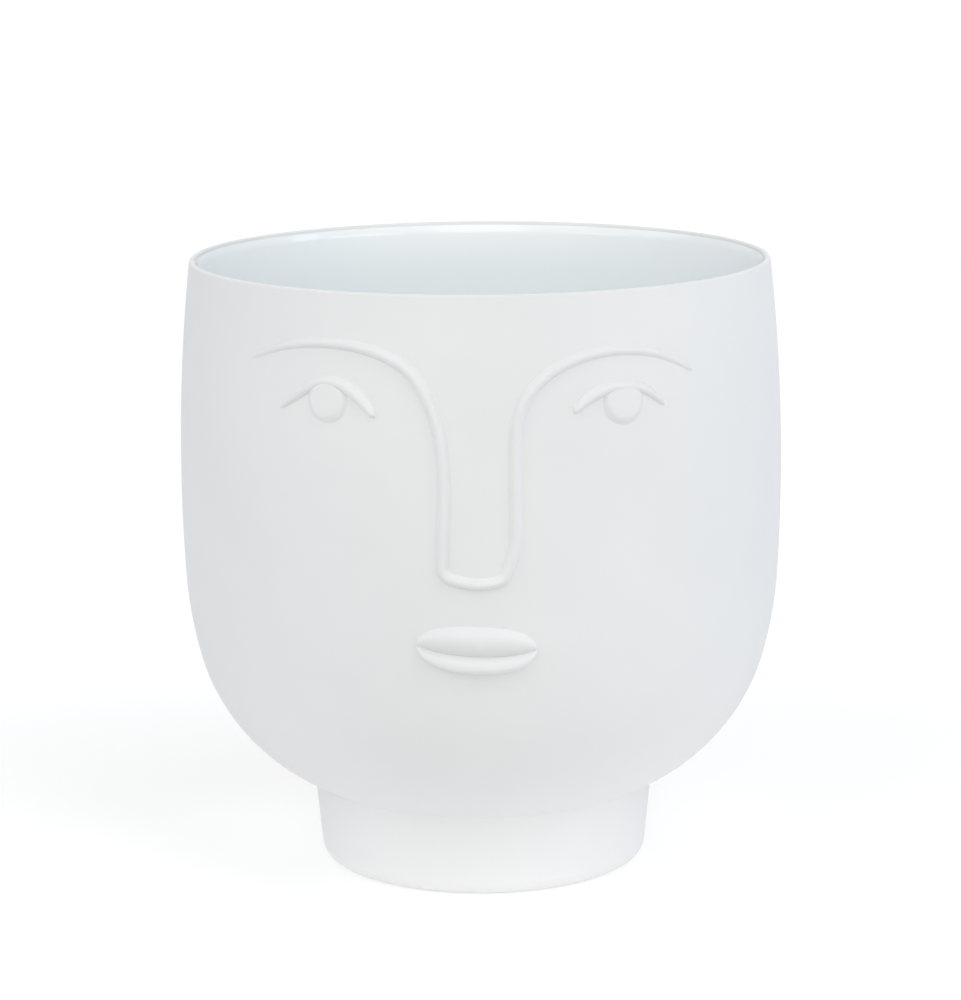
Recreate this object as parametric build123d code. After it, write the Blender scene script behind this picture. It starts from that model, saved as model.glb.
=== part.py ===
from build123d import *

import math
import os

# Footed pot with a face in low relief on its front wall.
# Millimetres, +Z up, the face looks along -Y, origin on the table under the pot's axis.

# Bowl
BELLY_DIAMETER = 160.0
POT_HEIGHT = 163.0
BOWL_LIFT = 17.8
JAW_RADIUS = 53.6
CHEEK_RADIUS = 111.0
FLANK_RADIUS = 492.0
JAW_ANGLE = 75.7
CHEEK_ANGLE = 87.0
WALL = 2.8

# Glaze inside the bowl
GLAZE = 0.3
GLAZE_BELOW_RIM = 2.2
GLAZE_FEATHER = 1.2

# Foot ring
FOOT_TOP_DIAMETER = 91.4
FOOT_BASE_DIAMETER = 87.0
FOOT_WALL = 5.5
FOOT_OUTER_ROUND = 2.4
FOOT_INNER_ROUND = 1.2
FOOT_COVE = 1.2

# Brow and nose line, measured round the belly from the front and down from the rim
BROW_BELOW_RIM = 13.2
BROW_RISE = 58.4
NOSE_WIDTH = 17.4
LEFT_BROW_REACH = 65.0
RIGHT_BROW_REACH = 58.2
NOSE_LEFT_CORNER_ROUND = 3.2
NOSE_TIP_ROUND = 16.0
NOSE_RIGHT_CORNER_ROUND = 3.2
NOSE_RIGHT_BEND_ROUND = 12.0
LINE_WIDTH = 3.2
LINE_HEIGHT = 1.5
LINE_TAPER = 55.0
LINE_PITCH = 5.0

# Eyes, measured round the belly and down from the brow's top
LEFT_EYE_ACROSS = -39.85
LEFT_EYE_BELOW_BROW = 14.0
RIGHT_EYE_ACROSS = 36.8
RIGHT_EYE_BELOW_BROW = 14.6
LID_SPAN = 26.0
LID_RISE = 7.4
LID_WIDTH = 3.2
LID_HEIGHT = 1.4
LID_PITCH = 2.6
LID_GAP = 0.2
IRIS_DIAMETER = 11.4
IRIS_RISE = 0.5
IRIS_HEIGHT = 1.0
IRIS_ROUND = 0.8

# Mouth, measured round the belly and down from the nose
MOUTH_ACROSS = -1.5
MOUTH_BELOW_NOSE = 16.1
MOUTH_WIDTH = 30.6
MOUTH_TILT_ANGLE = 2.4
UPPER_LIP_RISE = 5.85
LOWER_LIP_DROP = 6.6
LIP_LINE_SAG = 1.8
LIP_GAP = 0.3
UPPER_LIP_HEIGHT = 2.2
LOWER_LIP_HEIGHT = 2.0

# Bed of slip under the relief, and how far an iris runs in before it is trimmed to the wall
SLIP_BED = 0.02
ROOT = 0.8

# Turn of a line between two of its sections, and the step that its direction is read over
STATION_ANGLE = 25.0
NUDGE_SHARE = 0.1

# Brow points as shares of the reach beyond the nose and of the rise over the nose base
LEFT_BROW_SHARES = (
    (1.003, 0.916),
    (0.841, 0.970),
    (0.65, 1.005),
    (0.459, 1.007),
    (0.297, 0.976),
    (0.156, 0.898),
    (0.062, 0.754),
    (0.019, 0.590),
    (0.006, 0.42),
)
RIGHT_BROW_SHARES = (
    (1.011, 0.860),
    (0.836, 0.931),
    (0.615, 0.973),
    (0.431, 0.972),
    (0.246, 0.929),
    (0.126, 0.866),
    (0.031, 0.762),
    (-0.004, 0.601),
    (-0.006, 0.42),
)
# Nose base corners as shares of the nose's half width and of the rise over the nose base
NOSE_BASE_SHARES = ((-1.12, 0.0375), (-0.06, -0.004), (0.644, 0.0257), (0.96, 0.1986))

# Lid points as shares of the lid's span and rise, with the share of its full width there
LEFT_LID_SHARES = (
    (-0.55, -0.33, 0.3),
    (-0.275, 0.28, 0.65),
    (-0.031, 0.65, 0.85),
    (0.214, 0.522, 1.0),
    (0.501, -0.37, 0.6),
)
RIGHT_LID_SHARES = (
    (-0.517, -0.154, 0.6),
    (-0.264, 0.447, 1.0),
    (-0.028, 0.57, 0.85),
    (0.224, 0.415, 0.65),
    (0.46, -0.165, 0.3),
)

# Shares that shape the tapers and the lips
LINE_END_WIDTH_SHARE = 0.5
LINE_END_HEIGHT_SHARE = 0.35
LIP_STATION_SHARES = (-0.96, -0.86, -0.66, -0.36, 0.0, 0.36, 0.66, 0.86, 0.96)
LIP_FULLNESS_SHARE = 2.3
UPPER_LIP_OUTLINE_SHARES = (
    (0.0, 0.0),
    (0.08, 0.38),
    (0.2, 0.75),
    (0.3, 0.92),
    (0.45, 1.0),
    (0.6, 0.95),
    (0.75, 0.77),
    (0.9, 0.41),
    (1.0, 0.0),
)
LOWER_LIP_OUTLINE_SHARES = (
    (0.0, 0.0),
    (0.1, 0.27),
    (0.3, 0.68),
    (0.45, 0.92),
    (0.58, 1.0),
    (0.7, 0.97),
    (0.8, 0.86),
    (0.9, 0.61),
    (0.96, 0.33),
    (1.0, 0.0),
)

RIGHT_ANGLE = 90.0
BROW_HEIGHT = POT_HEIGHT - BROW_BELOW_RIM
NOSE_BASE_HEIGHT = BROW_HEIGHT - BROW_RISE
LEFT_EYE_HEIGHT = BROW_HEIGHT - LEFT_EYE_BELOW_BROW
RIGHT_EYE_HEIGHT = BROW_HEIGHT - RIGHT_EYE_BELOW_BROW
MOUTH_HEIGHT = NOSE_BASE_HEIGHT - MOUTH_BELOW_NOSE
BELLY_RADIUS = BELLY_DIAMETER / 2
HALF_WALL = WALL / 2


def turned(turn):
    """Outward direction of the wall's outline, as (radial, up), at a turn from the flat underside."""
    return math.sin(math.radians(turn)), -math.cos(math.radians(turn))


def offset_centre(centre, turn, distance):
    """Centre of the next arc, which shares the outline's normal at the turn."""
    radial, up = turned(turn)
    return centre[0] - distance * radial, centre[1] - distance * up


# The outline's three arcs run tangent from the flat underside to the rim
FLAT_RADIUS = (
    BELLY_RADIUS
    - JAW_RADIUS * turned(JAW_ANGLE)[0]
    - CHEEK_RADIUS * (turned(CHEEK_ANGLE)[0] - turned(JAW_ANGLE)[0])
    - FLANK_RADIUS * (1 - turned(CHEEK_ANGLE)[0])
)
JAW_CENTRE = (FLAT_RADIUS, BOWL_LIFT + JAW_RADIUS)
CHEEK_CENTRE = offset_centre(JAW_CENTRE, JAW_ANGLE, CHEEK_RADIUS - JAW_RADIUS)
FLANK_CENTRE = offset_centre(CHEEK_CENTRE, CHEEK_ANGLE, FLANK_RADIUS - CHEEK_RADIUS)


def flank_turn(height, inset):
    """Turn of the flank where it reaches a height, on an outline set in from the outside."""
    return math.degrees(math.acos((FLANK_CENTRE[1] - height) / (FLANK_RADIUS - inset)))


RIM_ANGLE = flank_turn(POT_HEIGHT - HALF_WALL, HALF_WALL)


def wall_arcs(inset, end_turn):
    """Arcs of the wall's outline from the flat underside up, set in from the outside."""
    stretches = (
        (JAW_CENTRE, JAW_RADIUS, 0, JAW_ANGLE),
        (CHEEK_CENTRE, CHEEK_RADIUS, JAW_ANGLE, CHEEK_ANGLE),
        (FLANK_CENTRE, FLANK_RADIUS, CHEEK_ANGLE, end_turn),
    )
    return [
        CenterArc(centre, radius - inset, start - RIGHT_ANGLE, end - start)
        for centre, radius, start, end in stretches
    ]


def wall_at(height):
    """Radius and turn of the outer wall at a height."""
    if height < JAW_CENTRE[1] + JAW_RADIUS * turned(JAW_ANGLE)[1]:
        centre, radius = JAW_CENTRE, JAW_RADIUS
    elif height < CHEEK_CENTRE[1] + CHEEK_RADIUS * turned(CHEEK_ANGLE)[1]:
        centre, radius = CHEEK_CENTRE, CHEEK_RADIUS
    else:
        centre, radius = FLANK_CENTRE, FLANK_RADIUS
    turn = math.degrees(math.acos((centre[1] - height) / radius))
    return centre[0] + radius * turned(turn)[0], turn


def wall_frame(across, height):
    """Plane on the outer wall: x round the pot, y up the wall, z out of it."""
    distance, turn = wall_at(height)
    radial, up = turned(turn)
    spin = across / BELLY_RADIUS
    facing = Vector(math.sin(spin), -math.cos(spin), 0)
    return Plane(
        origin=facing * distance + Vector(0, 0, height),
        x_dir=(math.cos(spin), math.sin(spin), 0),
        z_dir=facing * radial + Vector(0, 0, up),
    )


def wall_drop(plane, beside):
    """Height of a seat on the wall over a section plane's base line, beside its origin."""
    point = plane.from_local_coords(Vector(beside, 0, 0))
    distance, turn = wall_at(point.Z)
    return (distance - math.hypot(point.X, point.Y)) * turned(turn)[0] + SLIP_BED


def bowed(start, middle, end):
    """Curve from start to end that passes through middle."""
    return Bezier(start, middle * 2 - (start + end) / 2, end)


def revolved(edges):
    """Solid of revolution about the pot's axis from a closed outline of (radius, height)."""
    return revolve(Plane.XZ * make_face(edges), Axis.Z, clean=False)


def outline_ends(edges):
    """First and last point of a run of edges."""
    return edges[0] @ 0, edges[-1] @ 1


def underside_core():
    """The bowl's outside as a full solid up to the rim, which trims all that sits on it."""
    arcs = wall_arcs(0, RIM_ANGLE)
    low, high = outline_ends(arcs)
    path = Polyline(high, (0, high.Y), (0, low.Y), low)
    return make_face([*arcs, *path.edges()])


BOWL_CORE = revolve(Plane.XZ * underside_core(), Axis.Z)


def bowl():
    """Wall of one thickness with a half round lip, closed by a flat floor."""
    outer = wall_arcs(0, RIM_ANGLE)
    inner = wall_arcs(WALL, RIM_ANGLE)
    outer_low, outer_high = outline_ends(outer)
    inner_low, inner_high = outline_ends(inner)
    lip_centre = (outer_high + inner_high) / 2
    lip_halves = [
        CenterArc(lip_centre, HALF_WALL, start, RIGHT_ANGLE)
        for start in (RIM_ANGLE - RIGHT_ANGLE, RIM_ANGLE)
    ]
    floor = Polyline(inner_low, (0, inner_low.Y), (0, outer_low.Y), outer_low)
    return revolved([*outer, *lip_halves, *inner, *floor.edges()])


def inner_glaze():
    """Glossy coat on the inside, feathered out below the lip."""
    glaze_turn = flank_turn(POT_HEIGHT - GLAZE_BELOW_RIM, WALL)
    feather_turn = flank_turn(POT_HEIGHT - GLAZE_BELOW_RIM - GLAZE_FEATHER, WALL + GLAZE)
    back = wall_arcs(WALL, glaze_turn)
    front = wall_arcs(WALL + GLAZE, feather_turn)
    back_low, back_high = outline_ends(back)
    front_low, front_high = outline_ends(front)
    floor = Polyline(front_low, (0, front_low.Y), (0, back_low.Y), back_low)
    return revolved([*back, Line(back_high, front_high), *front, *floor.edges()])


def foot_ring():
    """Flared ring luted under the bowl, with a cove in the crease and a flat land to stand on."""
    top = FOOT_TOP_DIAMETER / 2
    base = FOOT_BASE_DIAMETER / 2
    crease = JAW_CENTRE[1] - math.sqrt(JAW_RADIUS**2 - (top - JAW_CENTRE[0]) ** 2)
    flare = (top - base) / crease
    over = crease + WALL
    section = make_face(
        Polyline(
            (base, 0),
            (base + flare * over, over),
            (base - FOOT_WALL, over),
            (base - FOOT_WALL, 0),
            close=True,
        )
    )
    corners = section.vertices().sort_by(Axis.X)
    outer_edge = corners.filter_by(lambda v: v.Y < crease / 2).sort_by(Axis.X)[-1]
    section = fillet(outer_edge, FOOT_OUTER_ROUND)
    inner_edge = section.vertices().sort_by(Axis.Y)[0:2].sort_by(Axis.X)[0]
    section = fillet(inner_edge, FOOT_INNER_ROUND)
    core = underside_core()
    joined = section + core
    meeting = joined.vertices().sort_by_distance((top, crease))[0]
    coved = fillet(meeting, FOOT_COVE)
    return revolve(Plane.XZ * (coved - core), Axis.Z)


def ridge_section(before, here, after, width, height):
    """Round topped section across a line on the wall, seated on the wall's own curve."""
    run = (after.origin - before.origin).normalized()
    plane = Plane(origin=here.origin, x_dir=here.z_dir.cross(run), z_dir=run)
    left, right = (Vector(side, wall_drop(plane, side)) for side in (-width / 2, width / 2))
    crown = bowed(left, Vector(0, height), right)
    seat = bowed(right, Vector(0, SLIP_BED), left)
    return plane * make_face([crown, seat])


def stations(path, pitch):
    """Places along a path, a pitch apart and closer where it bends."""
    places = [0]
    while places[-1] < path.length:
        here = path.tangent_at(places[-1], position_mode=PositionMode.LENGTH)
        ahead_place = min(places[-1] + pitch, path.length)
        ahead = path.tangent_at(ahead_place, position_mode=PositionMode.LENGTH)
        places.append(places[-1] + pitch / max(1, here.get_angle(ahead) / STATION_ANGLE))
    return [place * path.length / places[-1] for place in places]


def ridge(path, pitch, width_at, height_at):
    """Clay roll along a line drawn on the unrolled wall."""
    sections = []
    nudge = pitch * NUDGE_SHARE
    for place in stations(path, pitch):
        here = min(max(place, nudge), path.length - nudge)
        before, middle, after = (
            wall_frame(point.X, point.Y)
            for point in (
                path.position_at(spot, position_mode=PositionMode.LENGTH)
                for spot in (here - nudge, here, here + nudge)
            )
        )
        sections.append(ridge_section(before, middle, after, width_at(here), height_at(here)))
    return loft(sections)


def brow_points(side, reach, shares):
    """Points of one brow on the unrolled wall, from its outer end to the nose."""
    half = NOSE_WIDTH / 2
    return [
        (side * (half + across * (reach - half)), NOSE_BASE_HEIGHT + rise * BROW_RISE)
        for across, rise in shares
    ]


def brow_and_nose_line():
    """One roll for both brows and the nose, thinning out towards the brows' outer ends."""
    left = brow_points(-1, LEFT_BROW_REACH, LEFT_BROW_SHARES)
    right = brow_points(1, RIGHT_BROW_REACH, RIGHT_BROW_SHARES)
    corners = [
        (across * NOSE_WIDTH / 2, NOSE_BASE_HEIGHT + rise * BROW_RISE)
        for across, rise in NOSE_BASE_SHARES
    ]
    rounds = [NOSE_LEFT_CORNER_ROUND, NOSE_TIP_ROUND, NOSE_RIGHT_CORNER_ROUND, NOSE_RIGHT_BEND_ROUND]
    nose = FilletPolyline(left[-1], *corners, right[-1], radius=rounds)
    path = Wire([Spline(*left), *nose.edges(), Spline(*reversed(right))])

    def fade(place, end_share):
        """Share of the full section at a place along the line."""
        inward = min(place, path.length - place) / LINE_TAPER
        return end_share + (1 - end_share) * math.sin(min(inward, 1) * math.pi / 2)

    return ridge(
        path,
        LINE_PITCH,
        lambda place: LINE_WIDTH * fade(place, LINE_END_WIDTH_SHARE),
        lambda place: LINE_HEIGHT * fade(place, LINE_END_HEIGHT_SHARE),
    )


def eyelid(across, height, shares):
    """Tapered roll over an eye."""
    points = [(across + x * LID_SPAN, height + z * LID_RISE) for x, z, _ in shares]
    path = Spline(*points)
    widths = [width for _, _, width in shares]

    def swell(place):
        """Share of the full section at a place along the lid."""
        along = place / path.length * (len(widths) - 1)
        index = min(int(along), len(widths) - 2)
        return widths[index] + (widths[index + 1] - widths[index]) * (along - index)

    return ridge(
        path,
        LID_PITCH,
        lambda place: LID_WIDTH * swell(place),
        lambda place: LID_HEIGHT * swell(place),
    )


def iris(across, height, shares):
    """Low disc with a rounded edge, cut off along the lower edge of its lid."""
    half = IRIS_DIAMETER / 2
    flat = half - IRIS_ROUND
    side = Polyline((0, IRIS_HEIGHT), (0, -ROOT), (half, -ROOT), (half, IRIS_HEIGHT - IRIS_ROUND))
    edge = CenterArc((flat, IRIS_HEIGHT - IRIS_ROUND), IRIS_ROUND, 0, RIGHT_ANGLE)
    profile = make_face([*side.edges(), edge, Line((flat, IRIS_HEIGHT), (0, IRIS_HEIGHT))])
    disc = Pos(0, IRIS_RISE) * revolve(Plane.XZ * profile, Axis.Z)
    lid_edge = Spline(
        *((x * LID_SPAN, z * LID_RISE - swell * LID_WIDTH / 2 - LID_GAP) for x, z, swell in shares)
    )
    start, end = lid_edge @ 0, lid_edge @ 1
    above = Polyline(end, (end.X, LID_SPAN), (start.X, LID_SPAN), start)
    cover = extrude(make_face([lid_edge, *above.edges()]), ROOT + IRIS_HEIGHT, both=True)
    return wall_frame(across, height) * (disc - cover) - BOWL_CORE


def lip(edge_reach, side, height, shares):
    """Lip form between the mouth's line and its own outer edge, lofted from corner to corner."""
    sections = []
    for along in LIP_STATION_SHARES:
        across = MOUTH_ACROSS + along * MOUTH_WIDTH / 2
        swell = math.sqrt(1 - abs(along) ** LIP_FULLNESS_SHARE)
        middle_height = MOUTH_HEIGHT - along * MOUTH_WIDTH / 2 * math.tan(math.radians(MOUTH_TILT_ANGLE))
        line_height = middle_height - LIP_LINE_SAG * swell**2 + side * LIP_GAP / 2
        edge_height = middle_height + side * edge_reach * swell
        frame = wall_frame(across, line_height)
        plane = Plane(origin=frame.origin, x_dir=frame.y_dir, z_dir=frame.x_dir)
        line, middle, edge = (
            plane.to_local_coords(wall_frame(across, level).origin) + Vector(0, SLIP_BED)
            for level in (line_height, (line_height + edge_height) / 2, edge_height)
        )
        crown = Spline(*(line + (edge - line) * out + Vector(0, height * swell * up) for out, up in shares))
        sections.append(plane * make_face([crown, bowed(edge, middle, line)]))
    return loft(sections)


NODES = {"bowl": bowl(), "foot_ring": foot_ring(), "inner_glaze": inner_glaze()}
NODES["brow_and_nose_line"] = brow_and_nose_line()
NODES["left_eyelid"] = eyelid(LEFT_EYE_ACROSS, LEFT_EYE_HEIGHT, LEFT_LID_SHARES)
NODES["right_eyelid"] = eyelid(RIGHT_EYE_ACROSS, RIGHT_EYE_HEIGHT, RIGHT_LID_SHARES)
NODES["left_iris"] = iris(LEFT_EYE_ACROSS, LEFT_EYE_HEIGHT, LEFT_LID_SHARES)
NODES["right_iris"] = iris(RIGHT_EYE_ACROSS, RIGHT_EYE_HEIGHT, RIGHT_LID_SHARES)
NODES["upper_lip"] = lip(UPPER_LIP_RISE, 1, UPPER_LIP_HEIGHT, UPPER_LIP_OUTLINE_SHARES)
NODES["lower_lip"] = lip(LOWER_LIP_DROP, -1, LOWER_LIP_HEIGHT, LOWER_LIP_OUTLINE_SHARES)

os.makedirs("parts", exist_ok=True)
for name, solid in NODES.items():
    export_step(solid, f"parts/{name}.step")
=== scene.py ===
"""Looks of a footed pot with a face in low relief: matte porcelain outside, glossy glaze inside."""

import logging
import math
from dataclasses import dataclass
from enum import Enum

import bpy
import numpy as np
from mathutils import Matrix, Vector


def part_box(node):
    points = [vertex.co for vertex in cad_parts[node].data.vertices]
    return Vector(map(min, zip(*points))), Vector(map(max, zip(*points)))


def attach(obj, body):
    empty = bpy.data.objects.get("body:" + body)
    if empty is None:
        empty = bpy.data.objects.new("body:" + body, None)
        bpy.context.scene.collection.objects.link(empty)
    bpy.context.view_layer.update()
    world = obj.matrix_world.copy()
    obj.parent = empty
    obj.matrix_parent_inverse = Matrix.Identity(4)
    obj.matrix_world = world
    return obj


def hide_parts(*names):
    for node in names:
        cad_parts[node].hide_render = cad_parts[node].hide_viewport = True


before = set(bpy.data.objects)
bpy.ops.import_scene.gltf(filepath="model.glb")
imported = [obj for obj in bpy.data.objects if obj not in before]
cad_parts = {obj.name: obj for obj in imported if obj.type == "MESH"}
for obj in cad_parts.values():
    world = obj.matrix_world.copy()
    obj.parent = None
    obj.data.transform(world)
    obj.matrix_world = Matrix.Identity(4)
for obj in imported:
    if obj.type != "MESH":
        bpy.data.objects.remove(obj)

LOG = logging.getLogger("head_planter")
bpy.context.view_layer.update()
BODY = "root"
CREASE_ANGLE = 42.0
ON_AXIS = 1e-9

Profile = list[tuple[float, float]]
Shares = tuple[tuple[float, ...], ...]
Faces = list[tuple[int, ...]]
Tone = tuple[float, float, float, float]
LightTone = tuple[float, float, float]

WHITE: Tone = (1.0, 1.0, 1.0, 1.0)
WHITE_LIGHT: LightTone = (1.0, 1.0, 1.0)


class Slot(Enum):
    """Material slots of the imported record."""

    BISQUE = "bisque"
    GLAZE = "glaze"


class Side(Enum):
    """Side of the face, as seen from the front."""

    LEFT = -1
    RIGHT = 1


class NodeTree:
    """Short way to lay shader nodes and join them."""

    def __init__(self, tree: bpy.types.NodeTree) -> None:
        """Clears a node tree and keeps it."""
        self.tree = tree
        self.tree.nodes.clear()

    def add(self, kind: str, **settings: object) -> bpy.types.Node:
        """Adds a node and sets its attributes and inputs.

        Args:
            kind: Blender's name of the node type.
            settings: attributes of the node, or input sockets by name with spaces as underscores.

        Returns:
            The new node.
        """
        node = self.tree.nodes.new(kind)
        for key, value in settings.items():
            if hasattr(node, key):
                setattr(node, key, value)
            else:
                node.inputs[key.replace("_", " ")].default_value = value
        return node

    def join(self, source: bpy.types.NodeSocket, target: bpy.types.NodeSocket) -> None:
        """Links an output socket to an input socket."""
        self.tree.links.new(source, target)

    def ramp(self, span: tuple[float, float], tones: tuple[Tone, Tone]) -> bpy.types.Node:
        """Adds a colour ramp between two tones.

        Args:
            span: where the ramp starts and ends.
            tones: tones there.

        Returns:
            The ramp's node.
        """
        node = self.add("ShaderNodeValToRGB")
        for element, position, tone in zip(node.color_ramp.elements, span, tones):
            element.position = position
            element.color = tone
        return node

    def looked_at(self) -> bpy.types.NodeSocket:
        """Tells where the camera looks, straight or by way of a gloss or a clear piece.

        Returns:
            Socket that is 1 there and 0 elsewhere.
        """
        path = self.add("ShaderNodeLightPath")
        seen = self.add("ShaderNodeMath", operation="MAXIMUM")
        shown = self.add("ShaderNodeMath", operation="MAXIMUM")
        self.join(path.outputs["Is Camera Ray"], seen.inputs[0])
        self.join(path.outputs["Is Glossy Ray"], seen.inputs[1])
        self.join(seen.outputs["Value"], shown.inputs[0])
        self.join(path.outputs["Is Transmission Ray"], shown.inputs[1])
        return shown.outputs["Value"]


def blank_material(name: str) -> tuple[bpy.types.Material, NodeTree]:
    """Starts a material with an empty node tree.

    Args:
        name: the material's name.

    Returns:
        The material and its nodes.
    """
    made = bpy.data.materials.new(name)
    made.use_nodes = True
    return made, NodeTree(made.node_tree)


def add_object(data: bpy.types.ID) -> bpy.types.Object:
    """Adds an object to the scene, under the name of its data.

    Args:
        data: mesh, light or camera.

    Returns:
        The new object.
    """
    made = bpy.data.objects.new(data.name, data)
    bpy.context.scene.collection.objects.link(made)
    return made


def add_light(light: bpy.types.Light, place: Vector, ahead: Vector) -> bpy.types.Object:
    """Adds a light to the scene.

    Args:
        light: the light.
        place: where it hangs.
        ahead: direction that it shines along.

    Returns:
        The new object.
    """
    made = add_object(light)
    made.location = place
    made.rotation_mode = "QUATERNION"
    made.rotation_quaternion = ahead.to_track_quat("-Z", "Y")
    return made


@dataclass(frozen=True)
class Bisque:
    """Unglazed white porcelain: matte, faintly mottled, with a very fine dry grain."""

    name: str = "bisque_porcelain"
    light_tone: Tone = (0.80, 0.80, 0.803, 1.0)
    shade_tone: Tone = (0.772, 0.774, 0.779, 1.0)
    mottle_scale: float = 14.0
    mottle_detail: float = 4.0
    mottle_span: tuple[float, float] = (0.35, 0.65)
    grain_scale: float = 2600.0
    grain_detail: float = 2.0
    grain_depth: float = 0.000016
    sponge_scale: float = 120.0
    sponge_detail: float = 3.0
    sponge_depth: float = 0.00003
    smooth_roughness: float = 0.52
    dry_roughness: float = 0.68
    specular: float = 0.35

    def material(self) -> bpy.types.Material:
        """Builds the porcelain's node material.

        Returns:
            The material.
        """
        made, nodes = blank_material(self.name)
        place = nodes.add("ShaderNodeTexCoord")
        shader = nodes.add("ShaderNodeBsdfPrincipled", Specular_IOR_Level=self.specular)
        output = nodes.add("ShaderNodeOutputMaterial")
        mottle = nodes.add("ShaderNodeTexNoise", Scale=self.mottle_scale, Detail=self.mottle_detail)
        tones = nodes.ramp(self.mottle_span, (self.shade_tone, self.light_tone))
        grain = nodes.add("ShaderNodeTexNoise", Scale=self.grain_scale, Detail=self.grain_detail)
        sponge = nodes.add("ShaderNodeTexNoise", Scale=self.sponge_scale, Detail=self.sponge_detail)
        dryness = nodes.add("ShaderNodeMapRange", To_Min=self.smooth_roughness, To_Max=self.dry_roughness)
        marks = nodes.add("ShaderNodeBump", Strength=1.0, Distance=self.sponge_depth)
        bite = nodes.add("ShaderNodeBump", Strength=1.0, Distance=self.grain_depth)
        for texture in (mottle, grain, sponge):
            nodes.join(place.outputs["Object"], texture.inputs["Vector"])
        nodes.join(mottle.outputs["Fac"], tones.inputs["Fac"])
        nodes.join(tones.outputs["Color"], shader.inputs["Base Color"])
        nodes.join(sponge.outputs["Fac"], dryness.inputs["Value"])
        nodes.join(dryness.outputs["Result"], shader.inputs["Roughness"])
        nodes.join(sponge.outputs["Fac"], marks.inputs["Height"])
        nodes.join(grain.outputs["Fac"], bite.inputs["Height"])
        nodes.join(marks.outputs["Normal"], bite.inputs["Normal"])
        nodes.join(bite.outputs["Normal"], shader.inputs["Normal"])
        nodes.join(shader.outputs["BSDF"], output.inputs["Surface"])
        return made


@dataclass(frozen=True)
class Glaze:
    """Clear glossy glaze over white porcelain: whiter near the rim, a little cooler and darker lower down
    inside, and mottled at random.
    """

    name: str = "clear_inner_glaze"
    rim_tone: Tone = (0.955, 0.968, 0.98, 1.0)
    deep_tone: Tone = (0.905, 0.966, 0.972, 1.0)
    rim_tone_height: float = 0.150
    deep_tone_height: float = 0.132
    pool_scale: float = 18.0
    pool_detail: float = 3.0
    pool_share: float = 0.35
    tone_span: tuple[float, float] = (0.15, 0.85)
    wave_scale: float = 45.0
    wave_detail: float = 1.0
    wave_depth: float = 0.00005
    gloss: float = 0.05
    worn_gloss: float = 0.11
    refraction: float = 1.5

    def material(self) -> bpy.types.Material:
        """Builds the glaze's node material.

        Returns:
            The material.
        """
        made, nodes = blank_material(self.name)
        place = nodes.add("ShaderNodeTexCoord")
        shader = nodes.add("ShaderNodeBsdfPrincipled", IOR=self.refraction)
        output = nodes.add("ShaderNodeOutputMaterial")
        pool = nodes.add("ShaderNodeTexNoise", Scale=self.pool_scale, Detail=self.pool_detail)
        axes = nodes.add("ShaderNodeSeparateXYZ")
        depth = nodes.add("ShaderNodeMapRange", From_Min=self.deep_tone_height, From_Max=self.rim_tone_height)
        cover = nodes.add("ShaderNodeMix", data_type="FLOAT", Factor=self.pool_share)
        tones = nodes.ramp(self.tone_span, (self.deep_tone, self.rim_tone))
        wave = nodes.add("ShaderNodeTexNoise", Scale=self.wave_scale, Detail=self.wave_detail)
        sheen = nodes.add("ShaderNodeMapRange", To_Min=self.gloss, To_Max=self.worn_gloss)
        ripple = nodes.add("ShaderNodeBump", Strength=1.0, Distance=self.wave_depth)
        for texture in (pool, wave):
            nodes.join(place.outputs["Object"], texture.inputs["Vector"])
        nodes.join(place.outputs["Object"], axes.inputs["Vector"])
        # The tone goes from whiter near the rim to a little cooler and darker lower down inside, mixed with
        # random patches.
        nodes.join(axes.outputs["Z"], depth.inputs["Value"])
        nodes.join(depth.outputs["Result"], cover.inputs["A"])
        nodes.join(pool.outputs["Fac"], cover.inputs["B"])
        nodes.join(cover.outputs["Result"], tones.inputs["Fac"])
        nodes.join(tones.outputs["Color"], shader.inputs["Base Color"])
        nodes.join(pool.outputs["Fac"], sheen.inputs["Value"])
        nodes.join(sheen.outputs["Result"], shader.inputs["Roughness"])
        nodes.join(wave.outputs["Fac"], ripple.inputs["Height"])
        nodes.join(ripple.outputs["Normal"], shader.inputs["Normal"])
        nodes.join(shader.outputs["BSDF"], output.inputs["Surface"])
        return made


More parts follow.
